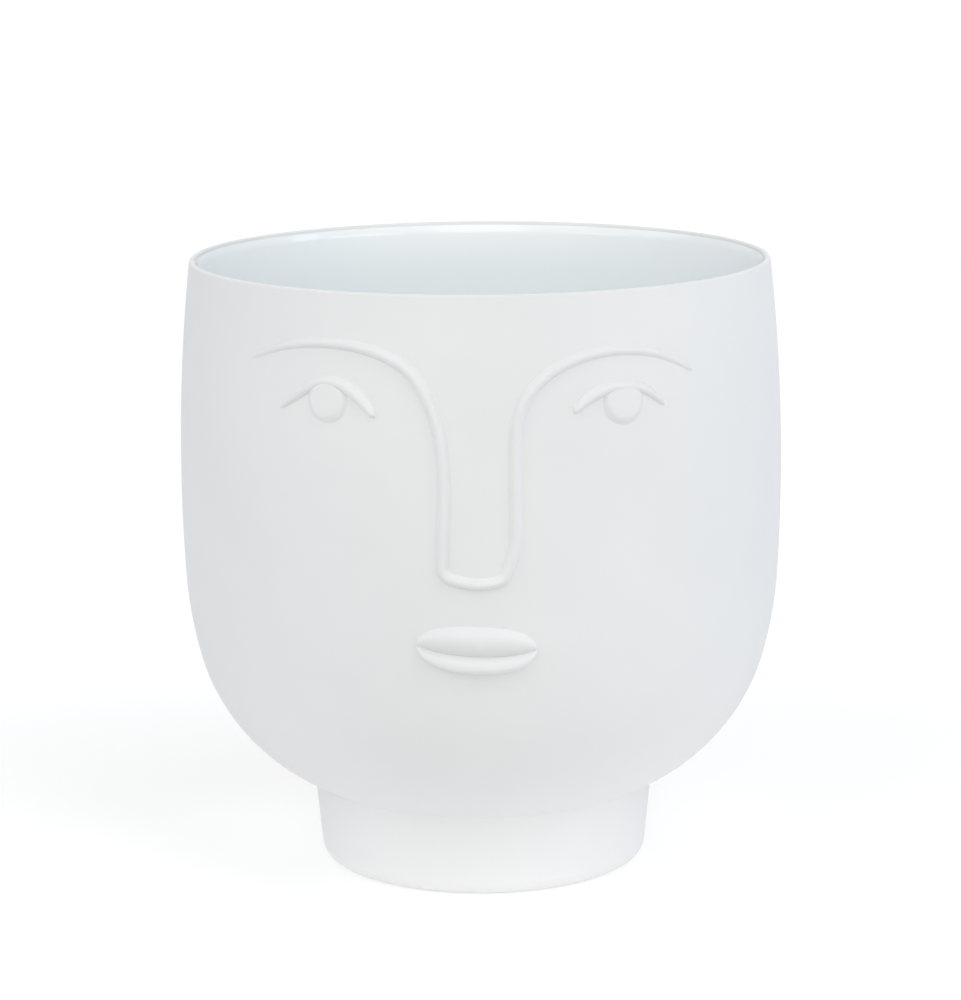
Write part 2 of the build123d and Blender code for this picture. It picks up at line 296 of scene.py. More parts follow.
@dataclass(frozen=True)
class PaleFloor:
    """White floor: a matte sheet with an even glow that the camera sees and that keeps the pot's shadow;
    near the pot it glows more, unseen by the camera, and lights the foot and jaw from below in place of
    bounce light.
    """

    name: str = "pale_floor"
    tone: Tone = (0.74, 0.74, 0.74, 1.0)
    seen_glow: float = 0.345
    # glow near the pot, unseen by the camera, that lights the foot and jaw from below in place of bounce
    # light
    near_glow: float = 0.435
    near_reach: float = 0.2

    def material(self) -> bpy.types.Material:
        """Builds the floor's node material, clear from below.

        Returns:
            The material.
        """
        made, nodes = blank_material(self.name)
        facing = nodes.add("ShaderNodeNewGeometry")
        level = nodes.add("ShaderNodeMix", data_type="FLOAT", B=self.seen_glow)
        away = nodes.add("ShaderNodeVectorMath", operation="LENGTH")
        near = nodes.add("ShaderNodeMapRange", interpolation_type="SMOOTHSTEP", From_Min=self.near_reach,
                         From_Max=0.0, To_Max=self.near_glow)
        paint = nodes.add("ShaderNodeBsdfDiffuse", Color=self.tone)
        glow = nodes.add("ShaderNodeEmission")
        none = nodes.add("ShaderNodeBsdfTransparent")
        lit = nodes.add("ShaderNodeAddShader")
        sided = nodes.add("ShaderNodeMixShader")
        output = nodes.add("ShaderNodeOutputMaterial")
        nodes.join(nodes.looked_at(), level.inputs["Factor"])
        nodes.join(facing.outputs["Position"], away.inputs[0])
        nodes.join(away.outputs["Value"], near.inputs["Value"])
        nodes.join(near.outputs["Result"], level.inputs["A"])
        nodes.join(level.outputs["Result"], glow.inputs["Strength"])
        nodes.join(paint.outputs["BSDF"], lit.inputs[0])
        nodes.join(glow.outputs["Emission"], lit.inputs[1])
        nodes.join(facing.outputs["Backfacing"], sided.inputs["Fac"])
        nodes.join(lit.outputs["Shader"], sided.inputs[1])
        nodes.join(none.outputs["BSDF"], sided.inputs[2])
        nodes.join(sided.outputs["Shader"], output.inputs["Surface"])
        return made


@dataclass
class PotWall:
    """Outline of the pot's wall: tangent arcs from the flat underside up to the lip."""

    belly_radius: float
    height: float
    lift: float
    jaw_radius: float = 0.0536
    cheek_radius: float = 0.111
    flank_radius: float = 0.492
    jaw_turn: float = 75.7
    cheek_turn: float = 87.0
    thickness: float = 0.0028
    arc_step: float = 0.0013
    relief_sink: float = 0.0004
    relief_feather: float = 0.00001

    @classmethod
    def from_frame(cls) -> "PotWall":
        """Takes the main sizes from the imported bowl."""
        low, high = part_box("bowl")
        return cls(belly_radius=(high.x - low.x) / 2, height=high.z, lift=low.z)

    def __post_init__(self) -> None:
        """Works out the arcs' centres."""
        jaw, cheek = (math.radians(turn) for turn in (self.jaw_turn, self.cheek_turn))
        flat_radius = (
            self.belly_radius
            - self.jaw_radius * math.sin(jaw)
            - self.cheek_radius * (math.sin(cheek) - math.sin(jaw))
            - self.flank_radius * (1 - math.sin(cheek))
        )
        jaw_centre = np.array([flat_radius, self.lift + self.jaw_radius])
        cheek_centre = jaw_centre - (self.cheek_radius - self.jaw_radius) * self.facing(self.jaw_turn)
        flank_centre = cheek_centre - (self.flank_radius - self.cheek_radius) * self.facing(self.cheek_turn)
        self.centres = (jaw_centre, cheek_centre, flank_centre)
        self.radii = (self.jaw_radius, self.cheek_radius, self.flank_radius)

    @staticmethod
    def facing(turn: float) -> np.ndarray:
        """Outward direction, as (radial, up), at a turn in degrees from the flat underside."""
        return np.array([math.sin(math.radians(turn)), -math.cos(math.radians(turn))])

    def flank_turn(self, height: float, inset: float) -> float:
        """Turn of the flank where an outline set in from the outside reaches a height."""
        return math.degrees(math.acos((self.centres[2][1] - height) / (self.flank_radius - inset)))

    def outline(self, inset: float, end_turn: float) -> Profile:
        """Points up the wall from the edge of the flat underside.

        Args:
            inset: how far the outline is set in from the outside.
            end_turn: turn in degrees where it stops.

        Returns:
            Points as (radius, height).
        """
        turns = (0.0, self.jaw_turn, self.cheek_turn, end_turn)
        points: Profile = []
        for centre, radius, start, end in zip(self.centres, self.radii, turns, turns[1:]):
            count = max(2, math.ceil(math.radians(end - start) * radius / self.arc_step))
            for index in range(0 if not points else 1, count + 1):
                spot = centre + (radius - inset) * self.facing(start + (end - start) * index / count)
                points.append((float(spot[0]), float(spot[1])))
        return points

    def radius_and_turn(self, height: np.ndarray) -> tuple[np.ndarray, np.ndarray]:
        """Outer radius of the wall, and its turn in radians, at heights.

        Args:
            height: heights over the table.

        Returns:
            Radii and turns.
        """
        turns = (self.jaw_turn, self.cheek_turn)
        joints = [centre[1] + radius * self.facing(turn)[1]
                  for centre, radius, turn in zip(self.centres, self.radii, turns)]
        which = (height > joints[0]).astype(int) + (height > joints[1]).astype(int)
        centre_r, centre_z = np.array(self.centres).T[:, which]
        radius = np.array(self.radii)[which]
        turn = np.arccos((centre_z - height) / radius)
        return centre_r + radius * np.sin(turn), turn

    def place(self, across: np.ndarray, height: np.ndarray, lift: np.ndarray) -> np.ndarray:
        """Points on or over the outer wall.

        Args:
            across: distance round the belly from the front, to the right.
            height: height over the table.
            lift: distance out of the wall.

        Returns:
            Points, with x, y and z as the last axis.
        """
        radius, turn = self.radius_and_turn(height)
        spin = across / self.belly_radius
        reach = radius + lift * np.sin(turn)
        level = height - lift * np.cos(turn)
        return np.stack([reach * np.sin(spin), -reach * np.cos(spin), level], axis=-1)

    def relief(self, across: np.ndarray, height: np.ndarray,
               lift: np.ndarray) -> tuple[np.ndarray, np.ndarray]:
        """Top and underside of a form on the outer wall, its edge run out just under the surface.

        Args:
            across: distance round the belly from the front, to the right.
            height: height over the table.
            lift: distance of the top out of the wall.

        Returns:
            Points of the top and of the underside, which is sunk into the wall.
        """
        top = self.place(across, height, lift - self.relief_feather)
        bottom = self.place(across, height, np.full_like(lift, -self.relief_sink))
        return top, bottom


def arc_points(centre: np.ndarray, radius: float, start: float, end: float, count: int) -> Profile:
    """Points on an arc, from start to end in degrees from the outward direction, both included.

    Args:
        centre: centre as (radius, height).
        radius: radius of the arc.
        start: first direction.
        end: last direction.
        count: number of steps.

    Returns:
        Points as (radius, height).
    """
    angles = np.radians(np.linspace(start, end, count + 1))
    return [
        (float(centre[0] + radius * math.cos(angle)), float(centre[1] + radius * math.sin(angle)))
        for angle in angles
    ]


def add_piece(name: str, points: np.ndarray, faces: Faces, finish: bpy.types.Material, slot: Slot) -> None:
    """Makes a smooth mesh piece that rides on the pot and stands for the node of its name.

    Args:
        name: name of the CAD node; the piece's own name is the same with _form added.
        points: vertices.
        faces: vertex numbers of each face.
        finish: the piece's material.
        slot: not used.
    """
    mesh = bpy.data.meshes.new(name + "_form")
    mesh.from_pydata(points.tolist(), [], faces)
    mesh.validate()
    mesh.shade_smooth()
    mesh.set_sharp_from_angle(angle=math.radians(CREASE_ANGLE))
    mesh.materials.append(finish)
    piece = add_object(mesh)
    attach(piece, BODY)
    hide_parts(name)
    LOG.info("%s: %d points, %d faces", piece.name, len(points), len(faces))


def lathe(profile: Profile, steps: int) -> tuple[np.ndarray, Faces]:
    """Turns a closed outline round the pot's axis.

    Args:
        profile: points as (radius, height), counter-clockwise; a point on the axis becomes a pole.
        steps: number of steps round the axis.

    Returns:
        Vertices and faces.
    """
    spins = np.arange(steps) * 2 * math.pi / steps
    points: list[tuple[float, float, float]] = []
    rings: list[list[int]] = []
    for radius, height in profile:
        if radius < ON_AXIS:
            rings.append([len(points)] * steps)
            points.append((0.0, 0.0, height))
        else:
            rings.append(list(range(len(points), len(points) + steps)))
            points.extend((radius * math.sin(spin), -radius * math.cos(spin), height) for spin in spins)
    faces: Faces = []
    for low, high in zip(rings, rings[1:] + rings[:1]):
        for here in range(steps):
            ahead = (here + 1) % steps
            corners = dict.fromkeys((low[here], low[ahead], high[ahead], high[here]))
            if len(corners) > 2:
                faces.append(tuple(corners))
    return np.array(points), faces


def closed_patch(top: np.ndarray, bottom: np.ndarray) -> tuple[np.ndarray, Faces]:
    """Closed solid between two grids of the same shape.

    Args:
        top: outer points, rows by columns by 3.
        bottom: inner points under them.

    Returns:
        Vertices and faces.
    """
    rows, columns = top.shape[:2]
    under = rows * columns
    faces: Faces = []
    for row in range(rows - 1):
        for column in range(columns - 1):
            first = row * columns + column
            quad = (first, first + 1, first + columns + 1, first + columns)
            faces.append(quad)
            faces.append(tuple(under + corner for corner in reversed(quad)))
    rim = list(range(columns))
    rim += [row * columns + columns - 1 for row in range(1, rows)]
    rim += [(rows - 1) * columns + column for column in range(columns - 2, -1, -1)]
    rim += [row * columns for row in range(rows - 2, 0, -1)]
    for here, ahead in zip(rim, rim[1:] + rim[:1]):
        faces.append((ahead, here, under + here, under + ahead))
    return np.concatenate([top.reshape(-1, 3), bottom.reshape(-1, 3)]), faces


def closed_disc(top: np.ndarray, bottom: np.ndarray) -> tuple[np.ndarray, Faces]:
    """Closed solid between two sets of rings of the same shape.

    Args:
        top: outer points, rings from the middle outwards by steps round it by 3.
        bottom: inner points under them.

    Returns:
        Vertices and faces.
    """
    rings, steps = top.shape[:2]
    under = rings * steps
    faces: Faces = [tuple(range(steps)), tuple(under + here for here in reversed(range(steps)))]
    for row in range(rings - 1):
        low, high = row * steps, (row + 1) * steps
        for here in range(steps):
            ahead = (here + 1) % steps
            quad = (low + here, high + here, high + ahead, low + ahead)
            faces.append(quad)
            faces.append(tuple(under + corner for corner in reversed(quad)))
    edge = (rings - 1) * steps
    for here in range(steps):
        ahead = (here + 1) % steps
        faces.append((edge + here, under + edge + here, under + edge + ahead, edge + ahead))
    return np.concatenate([top.reshape(-1, 3), bottom.reshape(-1, 3)]), faces


def lengths_along(line: np.ndarray) -> np.ndarray:
    """Distance of each point of a line from its first one, along the line."""
    return np.concatenate([[0], np.cumsum(np.linalg.norm(np.diff(line, axis=0), axis=1))])


def smooth_line(points: np.ndarray, step: float) -> np.ndarray:
    """Even points along a natural cubic spline through the given ones.

    Args:
        points: points that the line passes through, each as (across, height).
        step: distance between the new points.

    Returns:
        Points along the line.
    """
    knots = lengths_along(points)
    gaps = np.diff(knots)
    count = len(points)
    system = np.eye(count)
    wanted = np.zeros_like(points)
    for here in range(1, count - 1):
        system[here, here - 1 : here + 2] = gaps[here - 1], 2 * (gaps[here - 1] + gaps[here]), gaps[here]
        ahead = (points[here + 1] - points[here]) / gaps[here]
        behind = (points[here] - points[here - 1]) / gaps[here - 1]
        wanted[here] = 6 * (ahead - behind)
    bend = np.linalg.solve(system, wanted)
    spots = np.linspace(0, knots[-1], max(2, round(knots[-1] / step)) + 1)
    start = np.clip(np.searchsorted(knots, spots, side="right") - 1, 0, count - 2)
    end = start + 1
    gap = gaps[start][:, None]
    before, after = (spots - knots[start])[:, None], (knots[end] - spots)[:, None]
    return (
        bend[start] * after**3 / (6 * gap)
        + bend[end] * before**3 / (6 * gap)
        + (points[start] / gap - bend[start] * gap / 6) * after
        + (points[end] / gap - bend[end] * gap / 6) * before
    )


def rounded_corner(before: np.ndarray, corner: np.ndarray, after: np.ndarray, radius: float,
                   step: float) -> np.ndarray:
    """Points on the arc that rounds a corner of a drawn line.

    Args:
        before: point before the corner.
        corner: the corner.
        after: point after it.
        radius: radius of the arc.
        step: distance between the points.

    Returns:
        Points on the arc, ends included.
    """
    inward = (before - corner) / np.linalg.norm(before - corner)
    outward = (after - corner) / np.linalg.norm(after - corner)
    half = math.acos(float(np.clip(inward @ outward, -1, 1))) / 2
    middle = (inward + outward) / np.linalg.norm(inward + outward)
    centre = corner + middle * radius / math.sin(half)
    start = corner + inward * radius / math.tan(half) - centre
    sweep = math.pi - 2 * half
    turn = math.copysign(1.0, float(np.cross(start, outward)))
    angles = turn * np.linspace(0, sweep, max(3, round(sweep * radius / step)) + 1)
    return centre + np.stack(
        [start[0] * np.cos(angles) - start[1] * np.sin(angles),
         start[0] * np.sin(angles) + start[1] * np.cos(angles)], axis=1)


def spread_evenly(line: np.ndarray, step: float) -> np.ndarray:
    """The same line with its points an even step apart.

    Args:
        line: points along the line.
        step: distance between the new points.

    Returns:
        Evenly spaced points.
    """
    lengths = lengths_along(line)
    spots = np.linspace(0, lengths[-1], round(lengths[-1] / step) + 1)
    return np.stack([np.interp(spots, lengths, line[:, axis]) for axis in (0, 1)], axis=1)


@dataclass
class ClayRoll:
    """Rolled clay line pressed on the wall, its foot smoothed into the surface."""

    wall: PotWall
    step: float = 0.0006
    fine_step: float = 0.00015
    columns: int = 25
    roundness: float = 0.9

    def patch(self, line: np.ndarray, width: np.ndarray, height: np.ndarray) -> tuple[np.ndarray, Faces]:
        """Closed solid along a line drawn on the unrolled wall.

        Args:
            line: points of the line, as (across, height).
            width: full width at each point.
            height: crest height at each point.

        Returns:
            Vertices and faces.
        """
        run = np.gradient(line, axis=0)
        run /= np.linalg.norm(run, axis=1)[:, None]
        beside = np.stack([run[:, 1], -run[:, 0]], axis=1)
        share = np.sin(np.linspace(-1, 1, self.columns) * math.pi / 2)
        radius, _ = self.wall.radius_and_turn(line[:, 1])
        offset = share[None, :] * width[:, None] / 2
        across = line[:, :1] + offset * beside[:, :1] * (self.wall.belly_radius / radius)[:, None]
        level = line[:, 1:] + offset * beside[:, 1:]
        crown = np.clip(1 - share**2, 0, None) ** self.roundness
        lift = height[:, None] * crown[None, :]
        return closed_patch(*self.wall.relief(across, level, lift))

    @staticmethod
    def tip(length: np.ndarray, reach: float) -> np.ndarray:
        """Share of a roll's full size, for distances from its nearer end, where its tip is rounded."""
        short = np.clip(length / reach, 0, 1)
        return np.sqrt(1 - (1 - short) ** 2)


@dataclass
class BrowAndNoseLine:
    """One roll that draws both brows and the nose."""

    wall: PotWall
    nose_base_height: float = 0.0914
    nose_width: float = 0.0174
    brow_rise: float = 0.0584
    left_reach: float = 0.065
    right_reach: float = 0.0582
    corner_rounds: tuple[float, ...] = (0.0032, 0.016, 0.0034, 0.022)
    line_width: float = 0.0032
    line_height: float = 0.0015
    taper: float = 0.055
    tip_reach: float = 0.0015
    end_width_share: float = 0.5
    end_height_share: float = 0.35
    left_shares: Shares = (
        (1.003, 0.916), (0.841, 0.970), (0.65, 1.005), (0.459, 1.007), (0.297, 0.976),
        (0.156, 0.898), (0.062, 0.754), (0.019, 0.590), (0.006, 0.42),
    )
    right_shares: Shares = (
        (1.011, 0.860), (0.836, 0.931), (0.615, 0.973), (0.431, 0.972), (0.246, 0.929),
        (0.126, 0.866), (0.031, 0.762), (-0.004, 0.601), (-0.006, 0.42),
    )
    nose_shares: Shares = ((-1.12, 0.0375), (-0.06, -0.004), (0.644, 0.0257), (0.962, 0.172))

    def brow(self, side: Side, reach: float, shares: Shares) -> np.ndarray:
        """Points of one brow, from its outer end to the nose.

        Args:
            side: side of the face.
            reach: distance of the outer end from the face's middle.
            shares: points as shares of the reach beyond the nose and of the rise.

        Returns:
            Points as (across, height).
        """
        half = self.nose_width / 2
        return np.array([
            (side.value * (half + out * (reach - half)), self.nose_base_height + up * self.brow_rise)
            for out, up in shares
        ])

    def line(self, step: float) -> np.ndarray:
        """The whole line on the unrolled wall, from the left brow's end to the right one's.

        Args:
            step: distance between its points.

        Returns:
            Points as (across, height).
        """
        left = self.brow(Side.LEFT, self.left_reach, self.left_shares)
        right = self.brow(Side.RIGHT, self.right_reach, self.right_shares)
        corners = [
            np.array((out * self.nose_width / 2, self.nose_base_height + up * self.brow_rise))
            for out, up in self.nose_shares
        ]
        stops = [left[-1], *corners, right[-1]]
        arcs = [
            rounded_corner(before, corner, after, radius, step)
            for before, corner, after, radius in zip(stops, stops[1:], stops[2:], self.corner_rounds)
        ]
        pieces = [smooth_line(left, step), *arcs, smooth_line(right[::-1], step)]
        return spread_evenly(np.concatenate(pieces), step)

    def build(self, finish: bpy.types.Material) -> None:
        """Makes the roll and dresses it.

        Args:
            finish: the roll's material.
        """
        roll = ClayRoll(self.wall)
        line = self.line(roll.step)
        along = lengths_along(line)
        inward = np.minimum(along, along[-1] - along)
        swell = np.sin(np.clip(inward / self.taper, 0, 1) * math.pi / 2)
        tip = roll.tip(inward + roll.fine_step, self.tip_reach)
        width = self.line_width * (self.end_width_share + (1 - self.end_width_share) * swell) * tip
        height = self.line_height * (self.end_height_share + (1 - self.end_height_share) * swell) * tip
        add_piece("brow_and_nose_line", *roll.patch(line, width, height), finish, Slot.BISQUE)


# Lid points as shares of the lid's span and rise, with the share of its full width there
LEFT_LID_SHARES: Shares = (
    (-0.55, -0.33, 0.3), (-0.275, 0.35, 0.95), (-0.031, 0.70, 0.95), (0.214, 0.522, 1.08),
    (0.501, -0.37, 0.68),
)
RIGHT_LID_SHARES: Shares = (
    (-0.517, -0.154, 0.6), (-0.264, 0.447, 1.0), (-0.028, 0.585, 0.9), (0.224, 0.44, 0.8),
    (0.46, -0.165, 0.32),
)


@dataclass
class Eye:
    """Eyelid roll and the low disc of the iris under it."""

    wall: PotWall
    side: Side
    across: float
    height: float
    lid_shares: Shares
    lid_span: float = 0.026
    lid_rise: float = 0.0074
    lid_width: float = 0.0032
    lid_height: float = 0.0014
    tip_reach: float = 0.0012
    iris_radius: float = 0.0057
    iris_height: float = 0.0012
    iris_edge: float = 0.0016
    iris_edge_swing: float = 0.3
    iris_round: float = 1.15
    iris_top_share: float = 0.85
    iris_lift: float = 0.0005
    iris_middle_share: float = 0.02
    iris_rings: int = 18
    iris_steps: int = 64
    swell_step: float = 0.02

    def build_lid(self, finish: bpy.types.Material) -> None:
        """Makes the lid and dresses it.

        Args:
            finish: the lid's material.
        """
        roll = ClayRoll(self.wall)
        shares = np.array(self.lid_shares)
        centre = np.array([self.across, self.height])
        points = centre + shares[:, :2] * np.array([self.lid_span, self.lid_rise])
        line = spread_evenly(smooth_line(points, roll.fine_step), roll.step)
        spots = np.linspace(0, len(shares) - 1, len(line))
        swell = smooth_line(np.stack([np.arange(len(shares)), shares[:, 2]], axis=1), self.swell_step)
        swell = np.interp(spots, swell[:, 0], swell[:, 1])
        along = np.arange(len(line)) * roll.step
        tip = roll.tip(np.minimum(along, along[-1] - along) + roll.fine_step, self.tip_reach)
        patch = roll.patch(line, self.lid_width * swell * tip, self.lid_height * np.sqrt(swell) * tip)
        add_piece(f"{self.side.name.lower()}_eyelid", *patch, finish, Slot.BISQUE)

    def build_iris(self, finish: bpy.types.Material) -> None:
        """Makes the iris and dresses it.

        Args:
            finish: the iris's material.
        """
        ring = np.linspace(self.iris_middle_share, 1, self.iris_rings)
        spin = np.linspace(0, 2 * math.pi, self.iris_steps, endpoint=False)
        up = np.sin(spin)
        reach = self.iris_radius * ring[:, None]
        across = self.across + reach * np.cos(spin)
        level = self.height + self.iris_lift + reach * np.minimum(up, self.iris_top_share * up)
        edge = self.iris_edge * (1 - self.iris_edge_swing * up)
        inset = np.clip((self.iris_radius - reach) / edge, 0, 1)
        lift = self.iris_height * np.sin(inset * math.pi / 2) ** self.iris_round
        disc = closed_disc(*self.wall.relief(across, level, lift))
        add_piece(f"{self.side.name.lower()}_iris", *disc, finish, Slot.BISQUE)


@dataclass
class Mouth:
    """Two low lip forms that meet in a fine line."""

    wall: PotWall
    across: float = -0.0015
    height: float = 0.0755
    width: float = 0.0306
    upper_fullness: float = 2.8
    lower_fullness: float = 2.4
    tilt: float = 2.4
    upper_rise: float = 0.0056
    lower_drop: float = 0.0067
    line_sag: float = 0.0020
    upper_height: float = 0.0026
    lower_height: float = 0.0027
    upper_shares: Shares = (
        (0.0, 0.22), (0.1, 0.466), (0.2, 0.665), (0.3, 0.818), (0.4, 0.925), (0.5, 0.985), (0.58, 1.0),
        (0.7, 0.937), (0.8, 0.77), (0.9, 0.48), (0.95, 0.27), (1.0, 0.0),
    )
    lower_shares: Shares = (
        (0.0, 0.22), (0.08, 0.40), (0.2, 0.65), (0.35, 0.88), (0.5, 0.98), (0.58, 1.0), (0.7, 0.96),
        (0.8, 0.85), (0.9, 0.62), (0.96, 0.38), (1.0, 0.0),
    )
    tubercle_height: float = 0.0003
    tubercle_width: float = 0.0013
    tubercle_place_share: float = 0.35
    tubercle_depth_share: float = 0.2
    end_share: float = 0.97
    crest_step: float = 0.01
    rows: int = 90
    columns: int = 28

    def build_lip(self, name: str, side: int, reach: float, height: float, fullness: float, shares: Shares,
                  finish: bpy.types.Material) -> None:
        """Makes one lip and dresses it.

        Args:
            name: name of the lip's node.
            side: 1 for the lip over the mouth's line, -1 for the one under it.
            reach: distance of the lip's outer edge from the corners' height.
            height: crest height.
            fullness: power of the lip's outline; a larger one gives blunter corners.
            shares: crest outline from the mouth's line outwards, as shares of depth and height.
            finish: the lip's material.
        """
        along = np.sin(np.linspace(-1, 1, self.rows) * math.pi / 2 * self.end_share)[:, None]
        swell = np.sqrt(1 - np.abs(along) ** fullness)
        dip = np.sqrt(1 - np.abs(along) ** self.lower_fullness)
        crest = smooth_line(np.array(shares), self.crest_step)
        out = np.linspace(0, 1, self.columns)[None, :]
        crown = np.interp(out, crest[:, 0], np.clip(crest[:, 1], 0, None))
        middle = self.height - along * self.width / 2 * math.tan(math.radians(self.tilt))
        line = middle - self.line_sag * dip**2
        edge = middle + side * reach * swell
        level = line + (edge - line) * out
        across = self.across + along * self.width / 2 + np.zeros_like(level)
        lift = height * swell * crown
        if side > 0:
            beside = (across - self.across - self.tubercle_width / 2) / self.tubercle_width
            deep = (out - self.tubercle_place_share) / self.tubercle_depth_share
            lift += self.tubercle_height * np.exp(-(beside**2) - deep**2)
        points, faces = closed_patch(*self.wall.relief(across, level, lift))
        if side > 0:
            faces = [tuple(reversed(face)) for face in faces]
        add_piece(name, points, faces, finish, Slot.BISQUE)

    def build(self, finish: bpy.types.Material) -> None:
        """Makes both lips.

        Args:
            finish: the lips' material.
        """
        self.build_lip("upper_lip", 1, self.upper_rise, self.upper_height, self.upper_fullness,
                       self.upper_shares, finish)
        self.build_lip("lower_lip", -1, self.lower_drop, self.lower_height, self.lower_fullness,
                       self.lower_shares, finish)


@dataclass
class Vessel:
    """The turned pieces: bowl, foot ring and the coat of glaze inside."""

    wall: PotWall
    steps: int = 320
    lip_steps: int = 14
    rim_flare: float = 0.0013
    flare_reach: float = 0.013
    glaze: float = 0.0003
    glaze_below_rim: float = 0.0008
    glaze_feather: float = 0.0012
    foot_top_radius: float = 0.0457
    foot_base_radius: float = 0.0435
    foot_wall: float = 0.0055
    foot_outer_round: float = 0.0042
    foot_inner_round: float = 0.0012
    foot_cove: float = 0.0012
    seat_depth: float = 0.0003
    round_steps: int = 8

    def flared(self, outline: Profile) -> Profile:
        """Inner outline, opened a little towards the rim where the wall was sponged thin.

        Args:
            outline: points up the inner wall, as (radius, height).

        Returns:
            The same points, set outwards near the rim.
        """
        low = self.wall.height - self.flare_reach
        opened: Profile = []
        for radius, height in outline:
            share = max(0.0, (height - low) / self.flare_reach)
            opened.append((radius + self.rim_flare * share**2, height))
        return opened

    def build_bowl(self, finish: bpy.types.Material) -> None:
        """Makes the bowl: one wall with a half round lip and a flat floor.

        Args:
            finish: the bowl's material.
        """
        wall = self.wall
        lip_radius = (wall.thickness - self.rim_flare) / 2
        top = wall.height - lip_radius
        outer = wall.outline(0, wall.flank_turn(top, 0))
        inner = self.flared(wall.outline(wall.thickness, wall.flank_turn(top, wall.thickness)))
        middle = (np.array(outer[-1]) + np.array(inner[-1])) / 2
        lip = arc_points(middle, (outer[-1][0] - inner[-1][0]) / 2, 0, 180, self.lip_steps)
        profile = [(0.0, outer[0][1]), *outer, *lip[1:-1], *reversed(inner), (0.0, inner[0][1])]
        add_piece("bowl", *lathe(profile, self.steps), finish, Slot.BISQUE)

    def build_glaze(self, finish: bpy.types.Material) -> None:
        """Makes the coat of glaze, feathered out below the lip.

        Args:
            finish: the coat's material.
        """
        wall = self.wall
        top = wall.height - self.glaze_below_rim
        inset = wall.thickness + self.glaze
        back = self.flared(wall.outline(wall.thickness, wall.flank_turn(top, wall.thickness)))
        front = self.flared(wall.outline(inset, wall.flank_turn(top - self.glaze_feather, inset)))
        profile = [(0.0, back[0][1]), *back, *reversed(front), (0.0, front[0][1])]
        add_piece("inner_glaze", *lathe(profile, self.steps), finish, Slot.GLAZE)

    def foot_profile(self) -> Profile:
        """Closed outline of the foot ring, with its cove run out on the bowl.

        Returns:
            Points as (radius, height).
        """
        wall = self.wall
        jaw = wall.centres[0]
        top, base = self.foot_top_radius, self.foot_base_radius
        crease = jaw[1] - math.sqrt(wall.jaw_radius**2 - (top - jaw[0]) ** 2)
        lean = np.array([top - base, crease]) / math.hypot(top - base, crease)
        out = np.array([lean[1], -lean[0]])
        away = np.array([base, 0.0]) + self.foot_cove * out - jaw
        half = float(away @ lean)
        reach = -half - math.sqrt(half**2 - float(away @ away) + (wall.jaw_radius + self.foot_cove) ** 2)
        cove = np.array([base, 0.0]) + self.foot_cove * out + reach * lean
        meet = (jaw - cove) / np.linalg.norm(jaw - cove)
        cove_start = math.degrees(math.atan2(-out[1], -out[0])) % 360
        cove_end = math.degrees(math.atan2(meet[1], meet[0])) % 360
        flare = math.degrees(math.atan2(out[1], out[0]))
        outer_centre = np.array([base, 0.0]) + self.foot_outer_round * (
            np.array([0, 1.0]) - np.array([1.0, 0]) * math.tan(math.radians(45 + flare / 2)))
        inner = base - self.foot_wall
        inner_centre = np.array([inner + self.foot_inner_round, self.foot_inner_round])
        seat_radius = wall.jaw_radius - self.seat_depth
        seat_end = math.degrees(math.atan2(-meet[1], -meet[0])) % 360
        seat_start = 360 - math.degrees(math.acos((inner - jaw[0]) / seat_radius))
        profile = arc_points(inner_centre, self.foot_inner_round, 180, 270, self.round_steps)
        profile += arc_points(outer_centre, self.foot_outer_round, 270, 360 + flare, self.round_steps)
        profile += arc_points(cove, self.foot_cove, cove_start, cove_end, self.round_steps)
        profile += arc_points(jaw, seat_radius, seat_end, seat_start, self.round_steps)
        return profile

    def build_foot(self, finish: bpy.types.Material) -> None:
        """Makes the foot ring."""
        add_piece("foot_ring", *lathe(self.foot_profile(), self.steps), finish, Slot.BISQUE)


@dataclass(frozen=True)
class Lamp:
    """One broad soft light, far enough away to be even over the whole floor."""

    name: str
    azimuth: float
    elevation: float
    spread: float
    strength: float
    tone: LightTone = WHITE_LIGHT

    def build(self) -> None:
        """Hangs the lamp, turned to the pot."""
        around, up = math.radians(self.azimuth), math.radians(self.elevation)
        away = Vector((math.sin(around) * math.cos(up), -math.cos(around) * math.cos(up), math.sin(up)))
        light = bpy.data.lights.new(self.name, "SUN")
        light.angle = math.radians(self.spread)
        light.energy = self.strength
        light.color = self.tone
        add_light(light, away, -away)


@dataclass(frozen=True)
class Panel:
    """Upright panel of light that stands round the pot, turned to its axis."""

    name: str
    azimuth: float
    away: float
    height: float
    width: float
    tallness: float
    strength: float
    tone: LightTone = WHITE_LIGHT

    def build(self) -> None:
        """Makes the panel."""
        light = bpy.data.lights.new(self.name, "AREA")
        light.shape = "RECTANGLE"
        light.size = self.width
        light.size_y = self.tallness
        light.energy = self.strength
        light.color = self.tone
        turn = math.radians(self.azimuth)
        outward = Vector((math.sin(turn), -math.cos(turn), 0))
        panel = add_light(light, outward * self.away + Vector((0, 0, self.height)), -outward)
        panel.visible_camera = False


